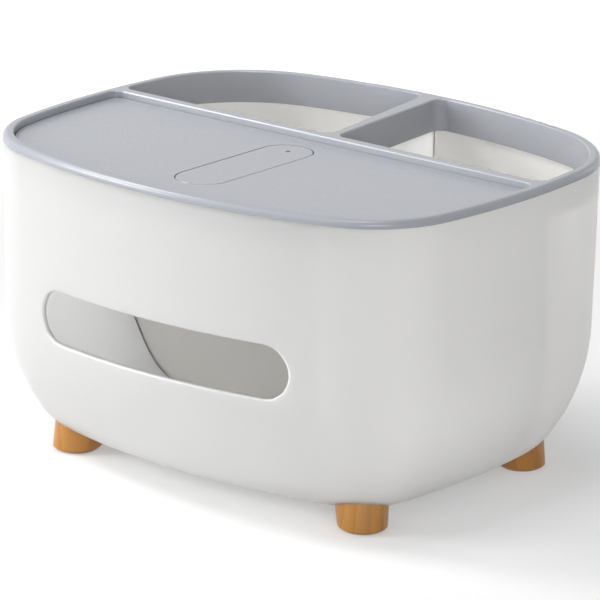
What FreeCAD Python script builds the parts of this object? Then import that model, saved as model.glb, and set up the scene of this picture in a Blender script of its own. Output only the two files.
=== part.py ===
import FreeCAD, Part
import math
import os

import Sketcher

os.makedirs("parts", exist_ok=True)
doc = FreeCAD.newDocument("tissue_box")
Vector, Rotation, Placement = FreeCAD.Vector, FreeCAD.Rotation, FreeCAD.Placement

# ---------------------------------------------------------------- driving sizes, in millimetres
SIZES = [
    ("box_width", 250.0),            # plan of the box: four shallow arcs and four corner arcs
    ("box_depth", 209.8),
    ("front_arc_radius", 303.5),     # front and back
    ("side_arc_radius", 361.0),
    ("front_corner_radius", 48.0),
    ("rear_corner_radius", 63.7),
    ("ground_gap", 7.0),             # floor to the flat underside of the shell
    ("seam_height", 144.6),          # floor to the joint between shell and top frame
    ("wall_thickness", 2.6),
    ("wall_draft", 1.4),             # how far the wall leans in before the bowl starts
    ("bowl_start_height", 69.8),
    ("bowl_inset", 43.4),            # how far in the flat underside starts
    ("bowl_base_radius", 34.0),
    ("slot_width", 140.2),
    ("slot_tall", 24.7),
    ("slot_center_height", 75.5),
    ("slot_edge_radius", 0.8),
    ("rim_rise", 3.5),               # top frame above the seam
    ("rim_width", 5.0),
    ("rim_edge_radius", 2.4),
    ("window_edge_bevel", 0.5),
    ("skirt_drop", 11.4),            # skirt below the seam
    ("skirt_thickness", 2.0),
    ("divider_center", 13.4),        # the bar across the box, behind its middle
    ("divider_width", 5.6),
    ("rib_front_width", 4.4),        # the bar between the two rear compartments
    ("rib_rear_width", 8.6),
    ("rib_front_shift", 3.7),        # its front end stands right of the middle
    ("rib_rear_shift", 5.6),         # and its rear end left of it
    ("window_corner_radius", 5.0),
    ("partition_thickness", 2.2),
    ("partition_gap", 0.2),
    ("partition_lean_degrees", 3.0), # the wall under the bar leans back towards the floor
    ("lid_recess", 3.0),
    ("lid_thickness", 2.5),
    ("lid_gap", 0.4),
    ("lid_corner_radius", 4.6),
    ("lid_edge_bevel", 0.35),
    ("lid_seat_gap", 0.2),
    ("ledge_width", 4.0),
    ("ledge_thickness", 2.0),
    ("lip_thickness", 1.6),
    ("lip_drop", 3.0),
    ("lip_gap", 0.5),
    ("flap_width", 24.6),
    ("flap_front_center", 68.8),     # ahead of the middle of the box
    ("flap_rear_center", 12.8),
    ("flap_gap", 0.45),
    ("flap_edge_bevel", 0.3),
    ("dimple_setback", 10.9),
    ("dimple_radius", 1.2),
    ("dimple_sink", 0.8),
    ("pivot_setback", 27.0),         # flap pivot ahead of the middle of the box
    ("pivot_drop", 1.9),             # flap pivot below the underside of lid and flap
    ("pivot_pin_radius", 1.2),
    ("pivot_pin_gap", 0.05),
    ("pivot_boss_radius", 3.1),
    ("pivot_boss_thickness", 3.0),
    ("pivot_side_gap", 0.6),
    ("stop_reach", 5.0),
    ("stop_width", 12.0),
    ("stop_thickness", 1.6),
    ("stop_gap", 0.3),
    ("foot_side_inset", 42.2),       # centre of each foot on the floor, in from the box's side
    ("foot_front_inset", 47.5),      # and from its front or back
    ("foot_base_radius", 10.9),
    ("foot_flare_degrees", 5.0),
    ("foot_splay_degrees", 9.5),
    ("foot_reach", 21.0),            # floor to the foot's top face along its axis
    ("foot_edge_bevel", 0.9),
    ("foot_pad_radius", 8.6),
    ("foot_pad_thickness", 0.8),
    ("socket_gap", 0.1),
    ("socket_wall", 2.4),
    ("socket_roof", 3.0),
    ("screw_radius", 1.9),
    ("screw_bite", 11.0),
    ("screw_head_radius", 3.8),
    ("screw_crown_radius", 2.7),
    ("screw_head_thickness", 2.4),
    ("screw_hole_gap", 0.2),
    ("screw_pilot_gap", 0.05),
    ("screw_pilot_spare", 1.0),      # pilot hole below the screw's end
    ("screw_recess_width", 1.1),
    ("screw_recess_length", 4.4),
    ("core_overlap", 1.2),           # how far the bowl's sweep and its core run into each other
    ("tool_overlap", 10.0),          # how far a cutting form runs past what it cuts
]
dims = doc.addObject("Spreadsheet::Sheet", "dims")
for row, (alias, value) in enumerate(SIZES, start=1):
    dims.set("A%d" % row, alias)
    dims.set("B%d" % row, str(value))
    dims.setAlias("B%d" % row, alias)
doc.recompute()
size = {alias: float(dims.get(alias)) for alias, value in SIZES}

TOUCH = 0.01                         # places closer than this are the same place
OVERLAP = size["tool_overlap"]
HALF_W = size["box_width"] / 2
HALF_D = size["box_depth"] / 2
FRONT_R = size["front_arc_radius"]
SIDE_R = size["side_arc_radius"]
SEAM = size["seam_height"]
TOP = SEAM + size["rim_rise"]
LID_TOP = TOP - size["lid_recess"]
LID_BASE = LID_TOP - size["lid_thickness"]
LEDGE_TOP = LID_BASE - size["lid_seat_gap"]
SKIRT_BASE = SEAM - size["skirt_drop"]
DIVIDER_FRONT = size["divider_center"] - size["divider_width"] / 2
DIVIDER_REAR = size["divider_center"] + size["divider_width"] / 2


# ---------------------------------------------------------------- helpers for bodies and sketches
def new_body(label):
    return doc.addObject("PartDesign::Body", label)


def origin_plane(body, role):
    return [item for item in body.Origin.OriginFeatures if item.Role == role][0]


def new_sketch(body, label, role="XY_Plane", lift="0"):
    """A sketch on one of the body's origin planes, moved along its normal by an expression."""
    sketch = body.newObject("Sketcher::SketchObject", label)
    sketch.AttachmentSupport = (origin_plane(body, role), [""])
    sketch.MapMode = "FlatFace"
    sketch.setExpression("AttachmentOffset.Base.z", lift)
    return sketch


def number(expression):
    return float(dims.evalExpression(expression))


def bind(sketch, kind, args, name, expression):
    """A dimension constraint whose value comes from the sheet."""
    index = sketch.addConstraint(Sketcher.Constraint(kind, *args, number(expression)))
    sketch.renameConstraint(index, name)
    sketch.setExpression("Constraints." + name, expression)


def bind_place(sketch, axis, geometry, point, name, expression):
    """Holds a sketch point at a signed distance from the origin along one axis."""
    if number(expression) >= 0:
        bind(sketch, "Distance" + axis, (-1, 1, geometry, point), name, expression)
    else:
        bind(sketch, "Distance" + axis, (geometry, point, -1, 1), name, "-(" + expression + ")")


def feature(body, kind, label, profile, length, reverse=False):
    """A pad or a pocket of one sketch, with its length bound to an expression."""
    item = body.newObject("PartDesign::" + kind, label)
    item.Profile = profile
    item.setExpression("Length", length)
    item.Reversed = reverse
    profile.Visibility = False
    doc.recompute()
    return item


def dress_edges(body, kind, label, base, keep, amount):
    """A fillet or a chamfer on the edges of the base feature that the test function keeps."""
    names = ["Edge%d" % (n + 1) for n, edge in enumerate(base.Shape.Edges) if keep(edge)]
    item = body.newObject("PartDesign::" + kind, label)
    item.Base = (base, names)
    item.setExpression("Radius" if kind == "Fillet" else "Size", amount)
    doc.recompute()
    return item


def lies_at(edge, height):
    box = edge.BoundBox
    return abs(box.ZMin - height) < TOUCH and abs(box.ZMax - height) < TOUCH


def is_upright(edge):
    box = edge.BoundBox
    return box.XLength < TOUCH and box.YLength < TOUCH and box.ZLength > TOUCH


# ---------------------------------------------------------------- the plan outline
def corner_arc(alias):
    """Centre, radius and end angles of a rear right corner arc between the rear and right arcs."""
    radius = size[alias]
    rear, side = HALF_D - FRONT_R, HALF_W - SIDE_R
    reach_rear, reach_side = FRONT_R - radius, SIDE_R - radius
    span = math.hypot(side, rear)
    along = (reach_rear ** 2 - reach_side ** 2 + span ** 2) / (2 * span)
    across = math.sqrt(reach_rear ** 2 - along ** 2)
    unit_x, unit_y = side / span, -rear / span
    x, y = along * unit_x + across * unit_y, rear + along * unit_y - across * unit_x
    return x, y, radius, math.atan2(y, x - side), math.atan2(y - rear, x)


FRONT_CORNER = corner_arc("front_corner_radius")
REAR_CORNER = corner_arc("rear_corner_radius")


def outline_arcs():
    """The eight arcs anticlockwise from the front one: centre, radius, start, end, kind."""
    pi = math.pi
    front, rear = (0.0, FRONT_R - HALF_D), (0.0, HALF_D - FRONT_R)
    left, right = (SIDE_R - HALF_W, 0.0), (HALF_W - SIDE_R, 0.0)
    front_x, front_y, front_r, front_start, front_end = FRONT_CORNER
    rear_x, rear_y, rear_r, rear_start, rear_end = REAR_CORNER
    return [
        (front, FRONT_R, front_end + pi, 2 * pi - front_end, "front"),
        ((front_x, -front_y), front_r, -front_end, -front_start, "front_corner"),
        (right, SIDE_R, -front_start, rear_start, "right"),
        ((rear_x, rear_y), rear_r, rear_start, rear_end, "rear_corner"),
        (rear, FRONT_R, rear_end, pi - rear_end, "rear"),
        ((-rear_x, rear_y), rear_r, pi - rear_end, pi - rear_start, "rear_corner"),
        (left, SIDE_R, pi - rear_start, pi + front_start, "left"),
        ((-front_x, -front_y), front_r, pi + front_start, pi + front_end, "front_corner"),
    ]


def add_arc(sketch, center, radius, start, end):
    circle = Part.Circle(Vector(center[0], center[1], 0), Vector(0, 0, 1), radius)
    return sketch.addGeometry(Part.ArcOfCircle(circle, start, end), False)


RADIUS_OF = {"front": "dims.front_arc_radius", "rear": "dims.front_arc_radius",
             "left": "dims.side_arc_radius", "right": "dims.side_arc_radius",
             "front_corner": "dims.front_corner_radius", "rear_corner": "dims.rear_corner_radius"}


def hold_arc(sketch, index, kind, inset_text):
    """Binds an outline arc's radius, and the centre of a main arc, to the sheet."""
    name = "%s_%d" % (kind, index)
    bind(sketch, "Radius", (index,), name + "_radius", RADIUS_OF[kind] + " - (" + inset_text + ")")
    depth_text = "dims.front_arc_radius - dims.box_depth / 2"
    width_text = "dims.side_arc_radius - dims.box_width / 2"
    if kind in ("front", "rear"):
        sign = "" if kind == "front" else "-"
        sketch.addConstraint(Sketcher.Constraint("PointOnObject", index, 3, -2))
        bind_place(sketch, "Y", index, 3, name + "_center", sign + "(" + depth_text + ")")
    elif kind in ("left", "right"):
        sign = "" if kind == "left" else "-"
        sketch.addConstraint(Sketcher.Constraint("PointOnObject", index, 3, -1))
        bind_place(sketch, "X", index, 3, name + "_center", sign + "(" + width_text + ")")


def outline_sketch(body, label, inset_text, lift="0"):
    """The closed outline, moved in by an inset."""
    sketch = new_sketch(body, label, lift=lift)
    inset = number(inset_text)
    arcs = outline_arcs()
    for center, radius, start, end, kind in arcs:
        add_arc(sketch, center, radius - inset, start, end)
    for n in range(len(arcs)):
        sketch.addConstraint(Sketcher.Constraint("Tangent", n, 2, (n + 1) % len(arcs), 1))
    for n, arc in enumerate(arcs):
        hold_arc(sketch, n, arc[-1], inset_text)
    doc.recompute()
    return sketch


def spine_sketch(body, label):
    """The outline as a path that starts and ends at the middle of the front."""
    sketch = new_sketch(body, label)
    arcs = outline_arcs()
    center, radius, start, end, kind = arcs[0]
    split = 1.5 * math.pi
    pieces = [(center, radius, split, end, kind)] + arcs[1:] + [(center, radius, start, split, kind)]
    for center, radius, start, end, kind in pieces:
        add_arc(sketch, center, radius, start, end)
    last = len(pieces) - 1
    for n in range(last):
        sketch.addConstraint(Sketcher.Constraint("Tangent", n, 2, n + 1, 1))
    for n, arc in enumerate(pieces[:-1]):
        hold_arc(sketch, n, arc[-1], "0")
    sketch.addConstraint(Sketcher.Constraint("Coincident", last, 3, 0, 3))
    sketch.addConstraint(Sketcher.Constraint("Coincident", last, 2, 0, 1))
    sketch.addConstraint(Sketcher.Constraint("PointOnObject", 0, 1, -2))
    doc.recompute()
    return sketch


# ---------------------------------------------------------------- bowl-shaped solids
def bowl_solid(label, inset_text):
    """The wall and bowl profile swept round the outline, and a core that fills its middle."""
    body = new_body(label)
    inset = number(inset_text)
    core_text = "dims.wall_draft + dims.bowl_inset + dims.core_overlap"
    base = size["ground_gap"] + inset
    small = size["bowl_base_radius"] - inset
    bend = Vector(-HALF_D + size["wall_draft"] + inset, size["bowl_start_height"], 0)
    lean = math.atan2(size["wall_draft"], SEAM - size["bowl_start_height"])
    normal = Vector(math.cos(lean), math.sin(lean), 0)
    low = Vector(-HALF_D + size["wall_draft"] + size["bowl_inset"], base + small, 0)
    gap = bend - low
    large = (small ** 2 - gap.Length ** 2) / (2 * (gap.dot(normal) + small))
    high = bend + normal * large
    turn = math.atan2(low.y - high.y, low.x - high.x)
    join = low + Vector(math.cos(turn), math.sin(turn), 0) * small
    inner = -HALF_D + number(core_text)
    top_outer = Vector(-HALF_D + inset, SEAM, 0)
    sketch = new_sketch(body, label + "_profile", "YZ_Plane")
    sketch.addGeometry(Part.LineSegment(top_outer, bend), False)
    add_arc(sketch, (high.x, high.y), large, math.pi + lean, turn % (2 * math.pi))
    add_arc(sketch, (low.x, low.y), small, turn % (2 * math.pi), 1.5 * math.pi)
    corners = [Vector(low.x, base, 0), Vector(inner, base, 0), Vector(inner, SEAM, 0), top_outer]
    for start, end in zip(corners, corners[1:]):
        sketch.addGeometry(Part.LineSegment(start, end), False)
    for n in range(3):
        sketch.addConstraint(Sketcher.Constraint("Tangent", n, 2, n + 1, 1))
    for n in (3, 4):
        sketch.addConstraint(Sketcher.Constraint("Coincident", n, 2, n + 1, 1))
    sketch.addConstraint(Sketcher.Constraint("Coincident", 5, 2, 0, 1))
    sketch.addConstraint(Sketcher.Constraint("Horizontal", 3))
    sketch.addConstraint(Sketcher.Constraint("Vertical", 4))
    sketch.addConstraint(Sketcher.Constraint("Horizontal", 5))
    front = "-(dims.box_depth / 2 - " + inset_text + ")"
    bind_place(sketch, "X", 0, 1, "wall_top", front)
    bind_place(sketch, "Y", 0, 1, "seam", "dims.seam_height")
    bind_place(sketch, "X", 0, 2, "wall_foot", front + " + dims.wall_draft")
    bind_place(sketch, "Y", 0, 2, "bowl_start", "dims.bowl_start_height")
    bind_place(sketch, "Y", 3, 2, "base", "dims.ground_gap + " + inset_text)
    bind(sketch, "Radius", (2,), "base_radius", "dims.bowl_base_radius - " + inset_text)
    bind_place(sketch, "X", 2, 3, "base_edge", "dims.wall_draft + dims.bowl_inset - dims.box_depth / 2")
    bind_place(sketch, "X", 4, 1, "core_edge", core_text + " - dims.box_depth / 2")
    spine = spine_sketch(body, label + "_path")
    pipe = body.newObject("PartDesign::AdditivePipe", label + "_sweep")
    pipe.Profile = sketch
    pipe.Spine = spine
    doc.recompute()
    core_sketch = outline_sketch(body, label + "_core_plan", "(" + core_text + " - dims.core_overlap / 2)",
                                 "dims.ground_gap + " + inset_text)
    feature(body, "Pad", label + "_core", core_sketch, "dims.seam_height - dims.ground_gap - " + inset_text)
    return body


outer_hull = bowl_solid("outer_hull", "0")
inner_hull = bowl_solid("inner_hull", "dims.wall_thickness")


# ---------------------------------------------------------------- boolean helpers
def simple(kind, label, place=None, **sizes):
    """A Part primitive with its sizes bound to expressions."""
    item = doc.addObject("Part::" + kind, label)
    for name, text in sizes.items():
        item.setExpression(name, text)
    if place is not None:
        item.Placement = place
    return item


def fuse(label, parts):
    item = doc.addObject("Part::MultiFuse", label)
    item.Shapes = parts
    return item


def cut(label, base, tool):
    item = doc.addObject("Part::Cut", label)
    item.Base, item.Tool = base, tool
    doc.recompute()
    return item


def common(label, parts):
    item = doc.addObject("Part::MultiCommon", label)
    item.Shapes = parts
    return item


# ---------------------------------------------------------------- feet: places and axes
SPLAY = math.radians(size["foot_splay_degrees"])
FOOT_X = HALF_W - size["foot_side_inset"]
FOOT_Y = HALF_D - size["foot_front_inset"]
CORNERS = {"front_left": (-1, -1), "front_right": (1, -1), "rear_left": (-1, 1), "rear_right": (1, 1)}


def foot_place(side, depth, along):
    """Placement whose Z runs up the foot's axis, at a distance along it from the floor."""
    x, y = side * FOOT_X, depth * FOOT_Y
    reach = math.hypot(x, y)
    axis = Vector(-x / reach * math.sin(SPLAY), -y / reach * math.sin(SPLAY), math.cos(SPLAY))
    turn = Rotation(Vector(0, 0, 1), axis)
    return Placement(Vector(x, y, 0) + axis * along, turn)


def foot_cone(label, side, depth, gap_text):
    """A cone round the foot's axis, from below the floor up to the foot's top face."""
    base = "dims.foot_base_radius + " + gap_text
    return simple("Cone", label, foot_place(side, depth, -OVERLAP),
                  Radius1=base + " - dims.tool_overlap * tan(dims.foot_flare_degrees * 1deg)",
                  Radius2=base + " + dims.foot_reach * tan(dims.foot_flare_degrees * 1deg)",
                  Height="dims.foot_reach + dims.tool_overlap")


# ---------------------------------------------------------------- body shell
bosses, sockets, screw_holes = [], [], []
for corner, (side, depth) in CORNERS.items():
    boss = simple("Cylinder", "boss_" + corner, foot_place(side, depth, -OVERLAP),
                  Radius="dims.foot_base_radius + dims.foot_reach * tan(dims.foot_flare_degrees * 1deg)"
                         " + dims.socket_gap + dims.socket_wall",
                  Height="dims.foot_reach + dims.socket_roof + dims.tool_overlap")
    bosses.append(boss)
    sockets.append(foot_cone("socket_" + corner, side, depth, "dims.socket_gap"))
    screw_holes.append(simple("Cylinder", "screw_hole_" + corner, foot_place(side, depth, 0),
                              Radius="dims.screw_radius + dims.screw_hole_gap",
                              Height="dims.foot_reach + dims.socket_roof + dims.tool_overlap"))
hollow = cut("hollow", inner_hull, fuse("bosses", bosses))
shell_solid = cut("shell_solid", outer_hull, hollow)

SLOT_RUN = size["slot_width"] - size["slot_tall"]
SLOT_LOW = size["slot_center_height"] - size["slot_tall"] / 2
SLOT_HIGH = SLOT_LOW + size["slot_tall"]
SLOT_START = -HALF_D - OVERLAP
slot_depth = "dims.tool_overlap * 2 + dims.wall_thickness * 4"
slot_parts = [simple("Box", "slot_middle", Placement(Vector(-SLOT_RUN / 2, SLOT_START, SLOT_LOW), Rotation()),
                     Length="dims.slot_width - dims.slot_tall", Width=slot_depth, Height="dims.slot_tall")]
for side, name in ((-1, "left"), (1, "right")):
    center = Vector(side * SLOT_RUN / 2, SLOT_START, size["slot_center_height"])
    slot_parts.append(simple("Cylinder", "slot_end_" + name,
                             Placement(center, Rotation(Vector(0, 0, 1), Vector(0, 1, 0))),
                             Radius="dims.slot_tall / 2", Height=slot_depth))
openings = fuse("shell_openings", [fuse("slot", slot_parts)] + sockets + screw_holes)
shell_cut = cut("shell_cut", shell_solid, openings)


def on_slot_rim(edge):
    """True on the slot's outline where it meets the outer face of the front wall."""
    box = edge.BoundBox
    ahead = box.YMax < 0 and max(-box.XMin, box.XMax) < size["slot_width"] / 2 + TOUCH
    level = box.ZMin > SLOT_LOW - TOUCH and box.ZMax < SLOT_HIGH + TOUCH
    if not (ahead and level):
        return False
    return outer_hull.Shape.distToShape(edge)[0] < TOUCH and all(
        outer_hull.Shape.Shells[0].distToShape(Part.Vertex(edge.valueAt(place)))[0] < TOUCH
        for place in edge.ParameterRange)


body_shell = doc.addObject("Part::Fillet", "body_shell")
body_shell.Base = shell_cut
slot_edges = [n + 1 for n, edge in enumerate(shell_cut.Shape.Edges) if on_slot_rim(edge)]
body_shell.Edges = [(n, size["slot_edge_radius"], size["slot_edge_radius"]) for n in slot_edges]
doc.recompute()

# ---------------------------------------------------------------- partition walls
RIB_SPAN = HALF_D - size["rim_width"] - DIVIDER_REAR
RIB_TURN = math.degrees(math.atan2(size["rib_front_shift"] + size["rib_rear_shift"], RIB_SPAN))
cross_lean = Rotation(Vector(1, 0, 0), size["partition_lean_degrees"])
cross_top = Vector(-HALF_W, size["divider_center"] - size["partition_thickness"] / 2, SEAM)
cross_base = cross_top - cross_lean.multVec(Vector(0, 0, SEAM))
cross_slab = simple("Box", "cross_slab", Placement(cross_base, cross_lean),
                    Length="dims.box_width", Width="dims.partition_thickness", Height="dims.seam_height")
partition_cross = common("partition_cross", [inner_hull, cross_slab])
rib_turn = Rotation(Vector(0, 0, 1), RIB_TURN)
rib_start = Vector(size["rib_front_shift"], DIVIDER_REAR, 0)
rib_corner = rib_start + rib_turn.multVec(Vector(-size["partition_thickness"] / 2, -OVERLAP, 0))
rib_slab = simple("Box", "rib_slab", Placement(rib_corner, rib_turn), Length="dims.partition_thickness",
                  Width="dims.box_depth / 2 + dims.tool_overlap", Height="dims.seam_height")
cross_rear = cross_base + cross_lean.multVec(Vector(0, size["partition_thickness"], 0))
behind = simple("Box", "behind_cross", Placement(cross_rear, cross_lean),
                Length="dims.box_width", Width="dims.box_depth / 2", Height="dims.seam_height")
partition_rib = common("partition_rib", [inner_hull, rib_slab, behind])
doc.recompute()


# ---------------------------------------------------------------- outline pieces cut by straight lines
def join_chain(sketch, kinds):
    """Tangent joints between neighbouring arcs, coincident joints at the straight lines."""
    count = len(kinds)
    for n in range(count):
        smooth = kinds[n] != "line" and kinds[(n + 1) % count] != "line"
        kind = "Tangent" if smooth else "Coincident"
        sketch.addConstraint(Sketcher.Constraint(kind, n, 2, (n + 1) % count, 1))


def front_sketch(body, label, inset_text, line_text, lift):
    """The part of the inset outline ahead of a line across the box."""
    sketch = new_sketch(body, label, lift=lift)
    inset, line_y = number(inset_text), number(line_text)
    arcs = outline_arcs()
    reach = SIDE_R - inset
    rise = math.asin(line_y / reach)
    edge_x = HALF_W - SIDE_R + reach * math.cos(rise)
    right = arcs[2][:3] + (rise, "right")
    left = arcs[6][:2] + (math.pi - rise,) + arcs[6][3:]
    pieces = [arcs[0], arcs[1], right, None, left, arcs[7]]
    for piece in pieces:
        if piece is None:
            line = Part.LineSegment(Vector(edge_x, line_y, 0), Vector(-edge_x, line_y, 0))
            sketch.addGeometry(line, False)
        else:
            add_arc(sketch, piece[0], piece[1] - inset, piece[2], piece[3])
    join_chain(sketch, ["line" if piece is None else "arc" for piece in pieces])
    for n, piece in enumerate(pieces):
        if piece is not None:
            hold_arc(sketch, n, piece[-1], inset_text)
    sketch.addConstraint(Sketcher.Constraint("Horizontal", 3))
    bind_place(sketch, "Y", 3, 1, "line_place", line_text)
    doc.recompute()
    return sketch


def rear_window_sketch(body, label, side, inset_text, lift):
    """One rear compartment's window: side is -1 for the left one, 1 for the right one."""
    sketch = new_sketch(body, label, lift=lift)
    inset = number(inset_text)
    arcs = outline_arcs()
    sign = "+" if side > 0 else "-"
    front_text = "dims.rib_front_shift %s dims.rib_front_width / 2" % sign
    rear_text = "-dims.rib_rear_shift %s dims.rib_rear_width / 2" % sign
    line_text = DIVIDER_REAR_TEXT
    front_x, rear_x, line_y = number(front_text), number(rear_text), number(line_text)
    reach, rear_reach = SIDE_R - inset, FRONT_R - inset
    rise = math.asin(line_y / reach)
    edge = Vector(side * (HALF_W - SIDE_R + reach * math.cos(rise)), line_y, 0)
    meet = math.acos(rear_x / rear_reach)
    far = Vector(rear_x, HALF_D - FRONT_R + rear_reach * math.sin(meet), 0)
    near = Vector(front_x, line_y, 0)
    rear, corner, beside = arcs[4], arcs[3 if side > 0 else 5], arcs[2 if side > 0 else 6]
    if side > 0:
        pieces = [(near, edge), beside[:2] + (rise,) + beside[3:], corner,
                  rear[:3] + (meet, "rear"), (far, near)]
    else:
        pieces = [(edge, near), (near, far), rear[:2] + (meet,) + rear[3:], corner,
                  beside[:3] + (math.pi - rise, "left")]
    for piece in pieces:
        if len(piece) == 2:
            sketch.addGeometry(Part.LineSegment(*piece), False)
        else:
            add_arc(sketch, piece[0], piece[1] - inset, piece[2], piece[3])
    join_chain(sketch, ["line" if len(piece) == 2 else "arc" for piece in pieces])
    for n, piece in enumerate(pieces):
        if len(piece) > 2:
            hold_arc(sketch, n, piece[-1], inset_text)
    sketch.addConstraint(Sketcher.Constraint("Horizontal", 0))
    bind_place(sketch, "Y", 0, 1, "line_place", line_text)
    rib, low, high = (4, 2, 1) if side > 0 else (1, 1, 2)
    bind_place(sketch, "X", rib, low, "rib_front", front_text)
    bind_place(sketch, "X", rib, high, "rib_rear", rear_text)
    doc.recompute()
    return sketch


def polygon_sketch(body, label, corners, lift="0", role="XY_Plane"):
    """A closed polygon from corners given as pairs of expressions."""
    sketch = new_sketch(body, label, role, lift)
    points = [Vector(number(x), number(y), 0) for x, y in corners]
    for n, point in enumerate(points):
        sketch.addGeometry(Part.LineSegment(point, points[(n + 1) % len(points)]), False)
    for n in range(len(points)):
        sketch.addConstraint(Sketcher.Constraint("Coincident", n, 2, (n + 1) % len(points), 1))
    for n, (x, y) in enumerate(corners):
        bind_place(sketch, "X", n, 1, "corner_%d_x" % n, x)
        bind_place(sketch, "Y", n, 1, "corner_%d_y" % n, y)
    doc.recompute()
    return sketch


def rectangle(x_low, x_high, y_low, y_high):
    return [(x_low, y_low), (x_high, y_low), (x_high, y_high), (x_low, y_high)]


def circle_sketch(body, label, x, y, radius, lift, role="XY_Plane"):
    sketch = new_sketch(body, label, role, lift)
    center = Vector(number(x), number(y), 0)
    sketch.addGeometry(Part.Circle(center, Vector(0, 0, 1), number(radius)), False)
    bind_place(sketch, "X", 0, 3, "center_x", x)
    bind_place(sketch, "Y", 0, 3, "center_y", y)
    bind(sketch, "Radius", (0,), "radius", radius)
    doc.recompute()
    return sketch


def inset_of(point):
    """Distance of a plan point inside the outline."""
    x, y = abs(point.x), abs(point.y)
    corner_x, corner_y, radius, start, end = FRONT_CORNER if point.y < 0 else REAR_CORNER
    turn = math.atan2(y - corner_y, x - corner_x)
    if x > corner_x and y > corner_y and start < turn < end:
        return radius - math.hypot(x - corner_x, y - corner_y)
    return min(FRONT_R - math.hypot(x, y - (HALF_D - FRONT_R)), SIDE_R - math.hypot(x - (HALF_W - SIDE_R), y))


# ---------------------------------------------------------------- top frame
TOP_TEXT = "dims.seam_height + dims.rim_rise"
LID_TOP_TEXT = TOP_TEXT + " - dims.lid_recess"
LID_BASE_TEXT = LID_TOP_TEXT + " - dims.lid_thickness"
SKIRT_TEXT = "dims.seam_height - dims.skirt_drop"
LEDGE_DEPTH_TEXT = "dims.lid_recess + dims.lid_thickness + dims.lid_seat_gap"
DIVIDER_FRONT_TEXT = "dims.divider_center - dims.divider_width / 2"
DIVIDER_REAR_TEXT = "dims.divider_center + dims.divider_width / 2"
THROUGH_TEXT = "dims.rim_rise + dims.skirt_drop + dims.tool_overlap"

top_frame = new_body("top_frame")
rim = feature(top_frame, "Pad", "rim_plate",
              outline_sketch(top_frame, "rim_plan", "0", "dims.seam_height"), "dims.rim_rise")
dress_edges(top_frame, "Fillet", "rim_outer_round", rim, lambda edge: lies_at(edge, TOP),
            "dims.rim_edge_radius")
feature(top_frame, "Pad", "skirt_block",
        outline_sketch(top_frame, "skirt_plan", "dims.rim_width - dims.skirt_thickness", SKIRT_TEXT),
        "dims.skirt_drop")
feature(top_frame, "Pocket", "lid_seat",
        front_sketch(top_frame, "lid_seat_plan", "dims.rim_width", DIVIDER_FRONT_TEXT, TOP_TEXT),
        LEDGE_DEPTH_TEXT)
feature(top_frame, "Pocket", "lid_opening",
        front_sketch(top_frame, "lid_opening_plan", "dims.rim_width + dims.ledge_width",
                     DIVIDER_FRONT_TEXT + " - dims.ledge_width", TOP_TEXT), THROUGH_TEXT)
feature(top_frame, "Pocket", "under_ledge",
        front_sketch(top_frame, "under_ledge_plan", "dims.rim_width", DIVIDER_FRONT_TEXT, SKIRT_TEXT),
        "dims.skirt_drop + dims.rim_rise - dims.ledge_thickness - (" + LEDGE_DEPTH_TEXT + ")", reverse=True)
for side, name in ((-1, "left"), (1, "right")):
    feature(top_frame, "Pocket", "window_" + name,
            rear_window_sketch(top_frame, "window_plan_" + name, side, "dims.rim_width", TOP_TEXT),
            THROUGH_TEXT)
half_channel = "(dims.partition_thickness / 2 + dims.partition_gap)"
CHANNEL_DEPTH = "dims.skirt_drop + dims.partition_gap"
cross_drift = "dims.skirt_drop * tan(dims.partition_lean_degrees * 1deg)"
side_reach = "(dims.box_width / 2 - dims.rim_width + dims.skirt_thickness + dims.partition_gap)"
feature(top_frame, "Pocket", "cross_channel",
        polygon_sketch(top_frame, "cross_channel_plan",
                       rectangle("-" + side_reach, side_reach, "dims.divider_center - " + half_channel,
                                 "dims.divider_center + " + half_channel + " + " + cross_drift), SKIRT_TEXT),
        CHANNEL_DEPTH, reverse=True)
rib_span = "(dims.box_depth / 2 - dims.rim_width - (" + DIVIDER_REAR_TEXT + "))"
rib_slope = "((dims.rib_front_shift + dims.rib_rear_shift) / " + rib_span + ")"
rear_reach = "(dims.box_depth / 2 - dims.rim_width + dims.skirt_thickness + dims.partition_gap)"


def rib_x(place):
    """The middle of the slanted rib, as an expression of the place along the box's depth."""
    return "dims.rib_front_shift - %s * (%s - (%s))" % (rib_slope, place, DIVIDER_REAR_TEXT)


rib_corners = [(rib_x(place) + sign + half_channel, place)
               for place, sign in (("dims.divider_center", " - "), ("dims.divider_center", " + "),
                                   (rear_reach, " + "), (rear_reach, " - "))]
rib_channel = feature(top_frame, "Pocket", "rib_channel",
                      polygon_sketch(top_frame, "rib_channel_plan", rib_corners, SKIRT_TEXT),
                      CHANNEL_DEPTH, reverse=True)


def is_window_corner(edge):
    """Upright edges where a window turns from the rim or the rib to a bar."""
    point = edge.BoundBox.Center
    inset = inset_of(point)
    at_bar = min(abs(point.y - line) for line in (DIVIDER_FRONT, DIVIDER_REAR)) < TOUCH
    near_rib = abs(point.x) < size["rib_rear_shift"] + size["rib_rear_width"]
    at_rib = near_rib and abs(inset - size["rim_width"]) < TOUCH
    return is_upright(edge) and inset > size["rim_width"] - TOUCH and (at_bar or (at_rib and point.y > 0))


def is_window_rim(edge):
    """Edges of the top face round the windows and the lid seat."""
    return lies_at(edge, TOP) and inset_of(edge.valueAt(edge.FirstParameter)) > size["rim_width"] - TOUCH


corner_round = dress_edges(top_frame, "Fillet", "window_corners", rib_channel, is_window_corner,
                           "dims.window_corner_radius")
dress_edges(top_frame, "Chamfer", "window_edges", corner_round, is_window_rim, "dims.window_edge_bevel")


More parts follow.
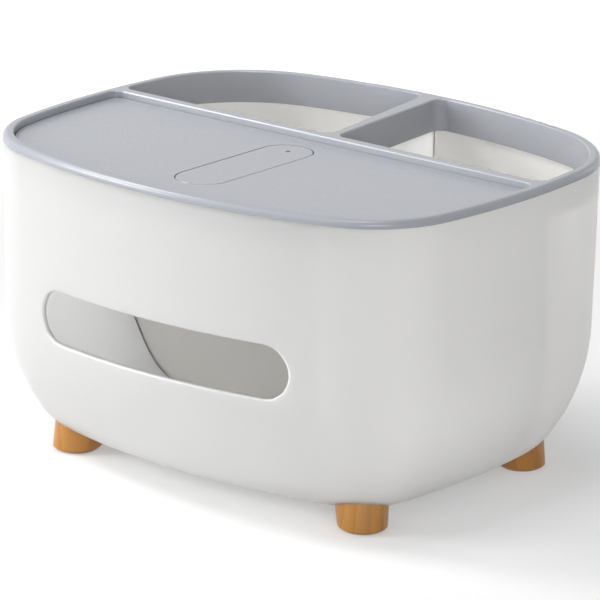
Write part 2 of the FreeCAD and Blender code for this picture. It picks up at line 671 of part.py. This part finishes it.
# ---------------------------------------------------------------- lid
LID_BACK_TEXT = DIVIDER_FRONT_TEXT + " - dims.lid_gap"
LID_BACK = DIVIDER_FRONT - size["lid_gap"]
LIP_TEXT = "dims.rim_width + dims.ledge_width + dims.lip_gap"
LIP_BACK_TEXT = DIVIDER_FRONT_TEXT + " - dims.ledge_width - dims.lip_gap"
PIVOT_TEXT = LID_BASE_TEXT + " - dims.pivot_drop"
PIVOT_Y = -size["pivot_setback"]
PIVOT_Z = LID_BASE - size["pivot_drop"]
SIDE_BOSS_TEXT = "(dims.flap_width / 2 + dims.flap_gap + dims.pivot_side_gap)"


def pill_sketch(body, label, radius_text, lift):
    """A slot shape along Y round the flap's two end centres."""
    sketch = new_sketch(body, label, lift=lift)
    radius = number(radius_text)
    front, rear = (0.0, -size["flap_front_center"]), (0.0, -size["flap_rear_center"])
    add_arc(sketch, front, radius, math.pi, 2 * math.pi)
    sketch.addGeometry(Part.LineSegment(Vector(radius, front[1], 0), Vector(radius, rear[1], 0)), False)
    add_arc(sketch, rear, radius, 0, math.pi)
    sketch.addGeometry(Part.LineSegment(Vector(-radius, rear[1], 0), Vector(-radius, front[1], 0)), False)
    for n in range(4):
        sketch.addConstraint(Sketcher.Constraint("Tangent", n, 2, (n + 1) % 4, 1))
    for n, text in ((0, "-dims.flap_front_center"), (2, "-dims.flap_rear_center")):
        sketch.addConstraint(Sketcher.Constraint("PointOnObject", n, 3, -2))
        bind_place(sketch, "Y", n, 3, "end_%d" % n, text)
    bind(sketch, "Radius", (0,), "end_radius", radius_text)
    doc.recompute()
    return sketch


def pivot_boss_sketch(body, label, lift):
    """The outline of a hinge lug: half a disc round the pivot and a neck up to the plate."""
    sketch = new_sketch(body, label, "YZ_Plane", lift)
    radius = size["pivot_boss_radius"]
    roof = LID_BASE + size["lid_thickness"] / 4
    left, right = Vector(PIVOT_Y - radius, PIVOT_Z, 0), Vector(PIVOT_Y + radius, PIVOT_Z, 0)
    roof_left, roof_right = Vector(left.x, roof, 0), Vector(right.x, roof, 0)
    add_arc(sketch, (PIVOT_Y, PIVOT_Z), radius, math.pi, 2 * math.pi)
    for start, end in ((right, roof_right), (roof_right, roof_left), (roof_left, left)):
        sketch.addGeometry(Part.LineSegment(start, end), False)
    sketch.addConstraint(Sketcher.Constraint("Tangent", 0, 2, 1, 1))
    for n in (1, 2):
        sketch.addConstraint(Sketcher.Constraint("Coincident", n, 2, n + 1, 1))
    sketch.addConstraint(Sketcher.Constraint("Tangent", 3, 2, 0, 1))
    for kind, n in (("Vertical", 1), ("Horizontal", 2), ("Vertical", 3)):
        sketch.addConstraint(Sketcher.Constraint(kind, n))
    bind(sketch, "Radius", (0,), "boss_radius", "dims.pivot_boss_radius")
    bind_place(sketch, "X", 0, 3, "pivot_y", "-dims.pivot_setback")
    bind_place(sketch, "Y", 0, 3, "pivot_z", PIVOT_TEXT)
    bind_place(sketch, "Y", 2, 1, "roof", LID_BASE_TEXT + " + dims.lid_thickness / 4")
    doc.recompute()
    return sketch


def pivot_bosses(body, prefix, near_text):
    """Two lugs, one each side of the middle, whose inner faces stand at near_text."""
    for side, lift in (("left", "-(" + near_text + ") - dims.pivot_boss_thickness"), ("right", near_text)):
        feature(body, "Pad", prefix + "_" + side, pivot_boss_sketch(body, prefix + "_plan_" + side, lift),
                "dims.pivot_boss_thickness")


def pivot_bore(body, label):
    sketch = circle_sketch(body, label + "_plan", "-dims.pivot_setback", PIVOT_TEXT,
                           "dims.pivot_pin_radius + dims.pivot_pin_gap", "dims.flap_width", "YZ_Plane")
    return feature(body, "Pocket", label, sketch, "dims.flap_width * 2")


lid_panel = new_body("lid_panel")
lid_plan = front_sketch(lid_panel, "lid_plan", "dims.rim_width + dims.lid_gap", LID_BACK_TEXT, LID_BASE_TEXT)
plate = feature(lid_panel, "Pad", "lid_plate", lid_plan, "dims.lid_thickness")
plate = dress_edges(lid_panel, "Fillet", "lid_corners", plate,
                    lambda edge: is_upright(edge) and edge.BoundBox.YMin > LID_BACK - TOUCH,
                    "dims.lid_corner_radius")
dress_edges(lid_panel, "Chamfer", "lid_edges", plate, lambda edge: lies_at(edge, LID_TOP),
            "dims.lid_edge_bevel")
lip_lift = LID_BASE_TEXT + " - dims.lip_drop"
feature(lid_panel, "Pad", "lid_lip",
        front_sketch(lid_panel, "lid_lip_plan", LIP_TEXT, LIP_BACK_TEXT, lip_lift), "dims.lip_drop")
feature(lid_panel, "Pocket", "lid_hollow",
        front_sketch(lid_panel, "lid_hollow_plan", LIP_TEXT + " + dims.lip_thickness",
                     LIP_BACK_TEXT + " - dims.lip_thickness", lip_lift), "dims.lip_drop", reverse=True)
pivot_bosses(lid_panel, "lid_lug", SIDE_BOSS_TEXT)
feature(lid_panel, "Pocket", "flap_hole",
        pill_sketch(lid_panel, "flap_hole_plan", "dims.flap_width / 2 + dims.flap_gap", LID_TOP_TEXT),
        "dims.lid_thickness")
stop_front = "-(dims.flap_front_center + dims.flap_width / 2 + dims.stop_reach)"
hole_front = "-(dims.flap_front_center + dims.flap_width / 2 - dims.stop_reach)"
hole_edge = "-(dims.flap_front_center + dims.flap_width / 2 + dims.flap_gap)"
stop_lift = LID_BASE_TEXT + " - dims.stop_gap - dims.stop_thickness"
for label, stop_rear, stop_tall in (("stop_plate", hole_front, "dims.stop_thickness"),
                                    ("stop_riser", hole_edge, "dims.stop_thickness + dims.stop_gap")):
    stop_corners = rectangle("-dims.stop_width / 2", "dims.stop_width / 2", stop_front, stop_rear)
    stop_plan = polygon_sketch(lid_panel, label + "_plan", stop_corners, stop_lift)
    feature(lid_panel, "Pad", label, stop_plan, stop_tall)
pivot_bore(lid_panel, "lid_bore")

# ---------------------------------------------------------------- flap and its pivot pin
flap = new_body("flap")
flap_plan = pill_sketch(flap, "flap_plan", "dims.flap_width / 2", LID_BASE_TEXT)
flap_plate = feature(flap, "Pad", "flap_plate", flap_plan, "dims.lid_thickness")
dress_edges(flap, "Chamfer", "flap_edges", flap_plate, lambda edge: lies_at(edge, LID_TOP),
            "dims.flap_edge_bevel")
pivot_bosses(flap, "flap_lug", "dims.flap_width / 2 - dims.pivot_side_gap - dims.pivot_boss_thickness")
pivot_bore(flap, "flap_bore")
feature(flap, "Pocket", "dimple",
        circle_sketch(flap, "dimple_plan", "0", "-dims.dimple_setback", "dims.dimple_radius", LID_TOP_TEXT),
        "dims.dimple_sink")
pin_reach = "(" + SIDE_BOSS_TEXT + " + dims.pivot_boss_thickness)"
across = Rotation(Vector(0, 0, 1), Vector(1, 0, 0))
flap_pin = simple("Cylinder", "flap_pin", Placement(Vector(-number(pin_reach), PIVOT_Y, PIVOT_Z), across),
                  Radius="dims.pivot_pin_radius", Height=pin_reach + " * 2")

# ---------------------------------------------------------------- feet, pads and screws
feet, foot_pads, screws = [], [], []
bevel_base = "dims.foot_base_radius - dims.foot_edge_bevel"
bevel_reach = "dims.foot_reach + dims.tool_overlap"
SCREW_END = size["foot_reach"] - size["screw_bite"]
for corner, (side, depth) in CORNERS.items():
    stand = Vector(side * FOOT_X, depth * FOOT_Y, 0)
    bevel = simple("Cone", "foot_bevel_" + corner,
                   Placement(stand + Vector(0, 0, size["foot_pad_thickness"]), Rotation()),
                   Radius1=bevel_base, Radius2=bevel_base + " + " + bevel_reach, Height=bevel_reach)
    turned = common("foot_turned_" + corner, [foot_cone("foot_cone_" + corner, side, depth, "0"), bevel])
    pilot = simple("Cylinder", "pilot_" + corner,
                   foot_place(side, depth, SCREW_END - size["screw_pilot_spare"]),
                   Radius="dims.screw_radius + dims.screw_pilot_gap",
                   Height="dims.screw_bite + dims.tool_overlap")
    feet.append(cut("foot_" + corner, turned, pilot))
    foot_pads.append(simple("Cylinder", "foot_pad_" + corner, Placement(stand, Rotation()),
                            Radius="dims.foot_pad_radius", Height="dims.foot_pad_thickness"))
    seat = size["foot_reach"] + size["socket_roof"]
    shank = simple("Cylinder", "shank_" + corner, foot_place(side, depth, SCREW_END),
                   Radius="dims.screw_radius", Height="dims.screw_bite + dims.socket_roof")
    head = simple("Cone", "head_" + corner, foot_place(side, depth, seat), Radius1="dims.screw_head_radius",
                  Radius2="dims.screw_crown_radius", Height="dims.screw_head_thickness")
    bars = []
    for turn in (0, 90):
        place = foot_place(side, depth, seat + size["screw_head_thickness"] / 2)
        width, length = size["screw_recess_width"], size["screw_recess_length"]
        offset = Placement(Vector(), Rotation(turn, 0, 0)).multiply(
            Placement(Vector(-length / 2, -width / 2, 0), Rotation()))
        bars.append(simple("Box", "recess_%s_%d" % (corner, turn), place.multiply(offset),
                           Length="dims.screw_recess_length", Width="dims.screw_recess_width",
                           Height="dims.screw_head_thickness"))
    screws.append(cut("screw_" + corner, fuse("screw_blank_" + corner, [shank, head]),
                      fuse("recess_" + corner, bars)))
foot_screws = doc.addObject("Part::Compound", "foot_screws")
foot_screws.Links = screws
doc.recompute()

# ---------------------------------------------------------------- checks and export
nodes = [body_shell, partition_cross, partition_rib, top_frame, lid_panel, flap, flap_pin]
nodes += feet + foot_pads + [foot_screws]
broken = [item.Label for item in doc.Objects if "Invalid" in item.State or "Error" in item.State]
assert not broken, broken
for node in nodes:
    shape = node.Shape
    assert not shape.isNull() and shape.isValid(), node.Label
    print("%-22s solids %d  volume %10.1f" % (node.Label, len(shape.Solids), shape.Volume))
    shape.exportStep("parts/%s.step" % node.Label)
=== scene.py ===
import math

import bpy
from mathutils import Matrix, Vector


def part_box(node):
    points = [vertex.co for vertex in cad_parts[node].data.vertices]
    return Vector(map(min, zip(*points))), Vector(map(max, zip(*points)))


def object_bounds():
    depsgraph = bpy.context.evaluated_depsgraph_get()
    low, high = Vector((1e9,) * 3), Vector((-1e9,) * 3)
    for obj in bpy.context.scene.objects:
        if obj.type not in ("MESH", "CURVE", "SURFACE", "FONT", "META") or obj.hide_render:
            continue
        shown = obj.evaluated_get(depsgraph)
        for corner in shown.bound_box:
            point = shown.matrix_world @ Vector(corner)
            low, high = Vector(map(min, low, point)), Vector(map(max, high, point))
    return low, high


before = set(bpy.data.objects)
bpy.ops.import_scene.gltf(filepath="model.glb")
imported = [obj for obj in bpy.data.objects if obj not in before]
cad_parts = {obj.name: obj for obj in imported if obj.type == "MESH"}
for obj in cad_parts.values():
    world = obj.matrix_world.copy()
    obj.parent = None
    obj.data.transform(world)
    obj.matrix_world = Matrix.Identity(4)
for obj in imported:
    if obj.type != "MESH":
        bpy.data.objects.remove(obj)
cad_low, cad_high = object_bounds()

MM = 0.001
DIFFUSE_BOUNCES = 24
ALL_BOUNCES = 32

scene = bpy.context.scene
# light bounces many times inside the white shell before it comes out of the slot
scene.cycles.diffuse_bounces = DIFFUSE_BOUNCES
scene.cycles.max_bounces = ALL_BOUNCES


# ---------------------------------------------------------------- camera
CAMERA_AZIMUTH = math.radians(38.90)
CAMERA_ELEVATION = math.radians(16.81)
CAMERA_ROLL = math.radians(0.96)
CAMERA_DISTANCE = 2300 * MM
CAMERA_LENS = 307.56
SENSOR_WIDTH = 36.0
AIM_HEIGHT = 60 * MM
AIM_RIGHT = -0.46 * MM
AIM_UP = 13.35 * MM
CLIP_START = 0.1
CLIP_END = 20.0


def direction(azimuth, elevation):
    """From the object towards a place at that azimuth and elevation."""
    level = math.cos(elevation)
    return Vector((math.sin(azimuth) * level, -math.cos(azimuth) * level, math.sin(elevation)))


def make_camera():
    """The camera that took the photo, as far as the outline and the seam tell."""
    back = direction(CAMERA_AZIMUTH, CAMERA_ELEVATION)
    right = Vector((math.cos(CAMERA_AZIMUTH), math.sin(CAMERA_AZIMUTH), 0))
    up = back.cross(right)
    aim = Vector((0, 0, AIM_HEIGHT)) + right * AIM_RIGHT + up * AIM_UP
    rolled_right = right * math.cos(CAMERA_ROLL) + up * math.sin(CAMERA_ROLL)
    rolled_up = up * math.cos(CAMERA_ROLL) - right * math.sin(CAMERA_ROLL)
    data = bpy.data.cameras.new("camera")
    data.lens = CAMERA_LENS
    data.sensor_width = SENSOR_WIDTH
    data.clip_start = CLIP_START
    data.clip_end = CLIP_END
    camera = bpy.data.objects.new("camera", data)
    scene.collection.objects.link(camera)
    turn = Matrix((rolled_right, rolled_up, back)).transposed().to_4x4()
    camera.matrix_world = Matrix.Translation(aim + back * CAMERA_DISTANCE) @ turn
    scene.camera = camera


make_camera()
scene.view_settings.view_transform = "Standard"


# ---------------------------------------------------------------- node helpers
def new_material(name):
    """An empty node material and its tree."""
    material = bpy.data.materials.new(name)
    material.use_nodes = True
    tree = material.node_tree
    tree.nodes.clear()
    return material, tree


def add_node(tree, kind, inputs=None, **settings):
    """A node with its settings, and inputs given as constants or as other nodes' outputs."""
    node = tree.nodes.new("ShaderNode" + kind)
    for name, value in settings.items():
        setattr(node, name, value)
    for name, value in (inputs or {}).items():
        if isinstance(value, bpy.types.NodeSocket):
            tree.links.new(value, node.inputs[name])
        else:
            node.inputs[name].default_value = value
    return node


def ramp(tree, value, stops):
    """A colour ramp from pairs of place and colour."""
    node = add_node(tree, "ValToRGB", {"Fac": value})
    elements = node.color_ramp.elements
    while len(elements) < len(stops):
        elements.new(0.5)
    for element, (place, color) in zip(elements, stops):
        element.position = place
        element.color = color
    return node.outputs["Color"]


def two_tone(tree, value, deep, pale):
    """A soft change from the deep colour to the pale one over the middle of a noise."""
    return ramp(tree, value, [(0.35, deep), (0.65, pale)])


def span(tree, value, low, high):
    """Maps a value from 0..1 to low..high."""
    node = add_node(tree, "MapRange", {"Value": value, "To Min": low, "To Max": high})
    return node.outputs["Result"]


def noise(tree, place, scale, detail):
    """Noise from 0 to 1, with scale in cells to the metre."""
    return add_node(tree, "TexNoise", {"Vector": place, "Scale": scale, "Detail": detail}).outputs["Fac"]


def stretched(tree, place, length):
    """A place whose pattern is drawn out along Z when length is below 1."""
    return add_node(tree, "Mapping", {"Vector": place, "Scale": (1, 1, length)}).outputs["Vector"]


def mix(tree, share, first, second, blend="MIX"):
    """Mixes two colours. Inputs 6 and 7 and output 2 are the colour ones of Blender's Mix node."""
    node = add_node(tree, "Mix", {"Factor": share}, data_type="RGBA", blend_type=blend)
    tree.links.new(first, node.inputs[6])
    tree.links.new(second, node.inputs[7])
    return node.outputs[2]


def principled(tree, inputs):
    """Ends a material in one Principled shader."""
    shader = add_node(tree, "BsdfPrincipled", inputs)
    add_node(tree, "OutputMaterial", {"Surface": shader.outputs["BSDF"]})


def rgb(red, green, blue):
    """A linear colour from the 0 to 255 levels that it shows as."""
    levels = []
    for level in (red, green, blue):
        share = level / 255
        levels.append(share / 12.92 if share <= 0.04045 else ((share + 0.055) / 1.055) ** 2.4)
    return (*levels, 1.0)


# ---------------------------------------------------------------- plastics
PLASTIC_IOR = 1.46
DRIFT_SCALE = 9.0
GLOSS_SPREAD = 0.04
GRAIN_HEIGHT = 1 / 8

# detail of the noise that drifts slowly over a surface, and of the one that makes its grain
SLOW_DETAIL = 3.0
FINE_DETAIL = 2.0

# how far light travels inside the shell and inside the partitions
SHELL_DEPTH = 20 * MM
PLATE_DEPTH = 14 * MM

# share of light that the shell takes in, and where it falls off towards the rear and the right
GLOW_FRONT = 0.86
GLOW_REAR = 0.32
REAR_FADE = (-10 * MM, 45 * MM)
RIGHT_FADE = (75 * MM, 124 * MM)


def plastic(name, pale, deep, gloss, grain, relief, glow=0.0, depth=SHELL_DEPTH):
    """Moulded plastic: a slow drift of tone, and a fine grain in gloss and surface.

    glow is the share of light that goes into the plastic and comes out elsewhere. It is a number, or a
    function that makes nodes for it.
    """
    material, tree = new_material(name)
    place = add_node(tree, "TexCoord").outputs["Object"]
    drift = noise(tree, place, DRIFT_SCALE, SLOW_DETAIL)
    fine = noise(tree, place, 1 / grain, FINE_DETAIL)
    bump = add_node(tree, "Bump", {"Height": fine, "Strength": relief, "Distance": grain * GRAIN_HEIGHT})
    principled(tree, {
        "Base Color": two_tone(tree, drift, deep, pale),
        "Roughness": span(tree, fine, gloss - GLOSS_SPREAD, gloss + GLOSS_SPREAD),
        "Normal": bump.outputs["Normal"],
        "IOR": PLASTIC_IOR,
        "Subsurface Weight": glow(tree, place) if callable(glow) else glow,
        "Subsurface Radius": (1.0, 1.0, 1.0),
        "Subsurface Scale": depth})
    return material


def fade(tree, value, start, end):
    """The shell's share of light, falling softly as the value goes from start to end."""
    step = add_node(tree, "MapRange", {
        "Value": value, "From Min": start, "From Max": end, "To Min": GLOW_FRONT, "To Max": GLOW_REAR},
        interpolation_type="SMOOTHSTEP")
    return step.outputs["Result"]


def shell_glow(tree, place):
    """Most light goes into the front and left walls. The right wall and the rear take in less."""
    parts = add_node(tree, "SeparateXYZ", {"Vector": place}).outputs
    rear = fade(tree, parts["Y"], *REAR_FADE)
    right = fade(tree, parts["X"], *RIGHT_FADE)
    return add_node(tree, "Math", {0: rear, 1: right}, operation="MINIMUM").outputs[0]


# ---------------------------------------------------------------- wood
FOOT_SPLAY = math.radians(9.5)
PITH_OFFSET = 17 * MM
RING_PERIOD = 6.0 * MM
# a wave texture's ring period is 2 pi / 20 of a unit at scale 1
RING_SCALE = 2 * math.pi / 20 / RING_PERIOD
RING_WOBBLE = {"Distortion": 5.0, "Detail": 3.0, "Detail Scale": 1.2, "Detail Roughness": 0.55}
GRAIN_LENGTH = 0.22
TONE_SCALE = 90.0
TONE_SHARE = 0.35
PORE_LENGTH = 0.05
PORE_SCALE = 1500.0
PORE_RELIEF = 0.25
PORE_DEPTH = 0.1 * MM
WOOD_GLOSS = (0.26, 0.32)
WOOD_IOR = 1.62

RING_COLORS = [(0.0, rgb(182, 125, 44)), (0.55, rgb(175, 117, 39)), (0.9, rgb(157, 98, 28)),
               (1.0, rgb(178, 121, 42))]
TONE_COLORS = [(0.3, rgb(162, 104, 32)), (0.7, rgb(187, 133, 56))]
PORE_COLORS = [(0.28, (0.86, 0.78, 0.7, 1)), (0.42, (1, 1, 1, 1))]


def foot_frame(node):
    """The turn that stands a splayed foot upright, and the foot's middle on the floor."""
    low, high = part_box(node)
    middle = Vector(((low.x + high.x) / 2, (low.y + high.y) / 2, 0))
    lean = Vector((-middle.x, -middle.y, 0)).normalized() * math.sin(FOOT_SPLAY)
    axis = Vector((lean.x, lean.y, math.cos(FOOT_SPLAY)))
    return axis.rotation_difference(Vector((0, 0, 1))).to_matrix(), middle


def beech(name, node, turn, tilt):
    """Turned light wood: growth rings round a pith beside the foot, pores along the grain."""
    material, tree = new_material(name)
    upright, middle = foot_frame(node)
    swing = Matrix.Rotation(math.radians(tilt), 3, "X") @ Matrix.Rotation(math.radians(turn), 3, "Z")
    whole = swing @ upright
    shift = -(whole @ middle) + Vector((PITH_OFFSET, 0, 0))
    place = add_node(tree, "TexCoord").outputs["Object"]
    grain = add_node(tree, "Mapping", {
        "Vector": place, "Rotation": whole.to_euler(), "Location": shift}).outputs["Vector"]
    along = stretched(tree, grain, GRAIN_LENGTH)
    rings = add_node(tree, "TexWave", {"Vector": along, "Scale": RING_SCALE, **RING_WOBBLE},
                     wave_type="RINGS", rings_direction="Z", wave_profile="SAW").outputs["Fac"]
    drift = noise(tree, along, TONE_SCALE, SLOW_DETAIL)
    pores = noise(tree, stretched(tree, grain, PORE_LENGTH), PORE_SCALE, FINE_DETAIL)
    wood = mix(tree, TONE_SHARE, ramp(tree, rings, RING_COLORS), ramp(tree, drift, TONE_COLORS))
    bump = add_node(tree, "Bump", {"Height": pores, "Strength": PORE_RELIEF, "Distance": PORE_DEPTH})
    principled(tree, {
        "Base Color": mix(tree, 1.0, wood, ramp(tree, pores, PORE_COLORS), "MULTIPLY"),
        "Roughness": span(tree, pores, *WOOD_GLOSS),
        "Normal": bump.outputs["Normal"],
        "IOR": WOOD_IOR})
    return material


# ---------------------------------------------------------------- metal
BRUSH_SCALE = 1800.0
METAL_GLOSS = (0.25, 0.4)


def metal(name, pale, deep):
    """Zinc-plated or drawn steel with a fine brushed gloss."""
    material, tree = new_material(name)
    place = add_node(tree, "TexCoord").outputs["Object"]
    fine = noise(tree, place, BRUSH_SCALE, FINE_DETAIL)
    principled(tree, {
        "Base Color": two_tone(tree, fine, deep, pale),
        "Metallic": 1.0,
        "Roughness": span(tree, fine, *METAL_GLOSS)})
    return material


# ---------------------------------------------------------------- nodes and their materials
def dress(node, material):
    """Puts a material on every slot of a CAD node."""
    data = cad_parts[node].data
    if not data.materials:
        data.materials.append(material)
    for index in range(len(data.materials)):
        data.materials[index] = material


WHITES = (rgb(254, 253, 251), rgb(252, 251, 249))
shell_white = plastic("shell_white", *WHITES, 0.34, 0.5 * MM, 0.05, shell_glow)
plate_white = plastic("plate_white", *WHITES, 0.34, 0.5 * MM, 0.05, 1.0, PLATE_DEPTH)
frame_grey = plastic("frame_grey", rgb(162, 165, 172), rgb(159, 162, 169), 0.26, 0.4 * MM, 0.06)
lid_grey = plastic("lid_grey", rgb(164, 167, 175), rgb(162, 165, 173), 0.26, 0.35 * MM, 0.10)
pad_rubber = plastic("pad_rubber", rgb(176, 172, 164), rgb(168, 164, 156), 0.7, 0.3 * MM, 0.1)
screw_steel = metal("screw_steel", rgb(205, 205, 208), rgb(190, 190, 194))
pin_steel = metal("pin_steel", rgb(210, 210, 212), rgb(196, 196, 200))

MATERIALS = {
    "body_shell": shell_white, "partition_cross": plate_white, "partition_rib": plate_white,
    "top_frame": frame_grey, "lid_panel": lid_grey, "flap": lid_grey,
    "flap_pin": pin_steel, "foot_screws": screw_steel}
for node_name, cover in MATERIALS.items():
    dress(node_name, cover)

# how far the grain of each foot is turned about its axis and tilted from it, in degrees
GRAIN = {"front_left": (20, 12), "front_right": (-75, -14), "rear_left": (130, 8), "rear_right": (-30, 10)}
for corner, (grain_turn, grain_tilt) in GRAIN.items():
    foot = "foot_" + corner
    dress(foot, beech("beech_" + corner, foot, grain_turn, grain_tilt))
    dress("foot_pad_" + corner, pad_rubber)


# ---------------------------------------------------------------- stage and light
FLOOR_SIZE = 8.0
FLOOR_WHITE = 0.62
# what the floor adds for the view alone: little near the object, where its shadow falls, and white far off
FLOOR_LIFT = 0.33
FLOOR_NEAR = 0.4
FLOOR_FAR = 1.2
WORLD_LIGHT = 0.2

# name, azimuth and elevation in degrees, distance and size in metres, power in watts
LAMPS = [
    ("key", -48, 14, 2.0, 0.8, 27.8),
    ("left", -66, 44, 2.0, 0.5, 17.5),
    ("right", 46, 14, 2.0, 0.8, 14.8),
    ("top", 0, 85, 1.8, 0.5, 8.0),
    ("back", 165, 14, 2.0, 0.8, 2.5)]


def white_share(tree):
    """1 for camera, glossy and transmission rays, else 0."""
    path = add_node(tree, "LightPath").outputs
    pair = add_node(tree, "Math", {0: path["Is Camera Ray"], 1: path["Is Glossy Ray"]}, operation="MAXIMUM")
    return add_node(tree, "Math", {0: pair.outputs[0], 1: path["Is Transmission Ray"]},
                    operation="MAXIMUM").outputs[0]


def make_floor():
    """A pale floor that shows white to the camera and keeps the object's shadow."""
    mesh = bpy.data.meshes.new("floor")
    half = FLOOR_SIZE / 2
    corners = [(-half, -half, 0), (half, -half, 0), (half, half, 0), (-half, half, 0)]
    mesh.from_pydata(corners, [], [(0, 1, 2, 3)])
    floor = bpy.data.objects.new("floor", mesh)
    scene.collection.objects.link(floor)
    material, tree = new_material("floor")
    surface = add_node(tree, "BsdfDiffuse", {"Color": (FLOOR_WHITE, FLOOR_WHITE, FLOOR_WHITE, 1)})
    place = add_node(tree, "TexCoord").outputs["Object"]
    away = add_node(tree, "VectorMath", {0: place}, operation="LENGTH").outputs["Value"]
    share = add_node(tree, "MapRange", {
        "Value": away, "From Min": FLOOR_NEAR, "From Max": FLOOR_FAR, "To Min": FLOOR_LIFT, "To Max": 1.0})
    lift = add_node(tree, "Math", {0: white_share(tree), 1: share.outputs["Result"]}, operation="MULTIPLY")
    glow = add_node(tree, "Emission", {"Strength": lift.outputs[0]})
    both = add_node(tree, "AddShader", {0: surface.outputs[0], 1: glow.outputs[0]})
    add_node(tree, "OutputMaterial", {"Surface": both.outputs[0]})
    mesh.materials.append(material)


def make_world():
    """A world that lights the object a little and shows white to the camera."""
    world = bpy.data.worlds.new("world")
    scene.world = world
    world.use_nodes = True
    tree = world.node_tree
    tree.nodes.clear()
    strength = span(tree, white_share(tree), WORLD_LIGHT, 1.0)
    back = add_node(tree, "Background", {"Color": (1, 1, 1, 1), "Strength": strength})
    add_node(tree, "OutputWorld", {"Surface": back.outputs[0]})


def softbox(name, azimuth, elevation, distance, size, power):
    """A square area light that looks at the middle of the object."""
    data = bpy.data.lights.new(name, "AREA")
    data.shape = "SQUARE"
    data.size = size
    data.energy = power
    light = bpy.data.objects.new(name, data)
    scene.collection.objects.link(light)
    out = direction(math.radians(azimuth), math.radians(elevation))
    light.location = Vector((0, 0, cad_high.z / 2)) + out * distance
    light.rotation_mode = "QUATERNION"
    light.rotation_quaternion = out.to_track_quat("Z", "Y")


make_floor()
make_world()
for lamp in LAMPS:
    softbox(*lamp)
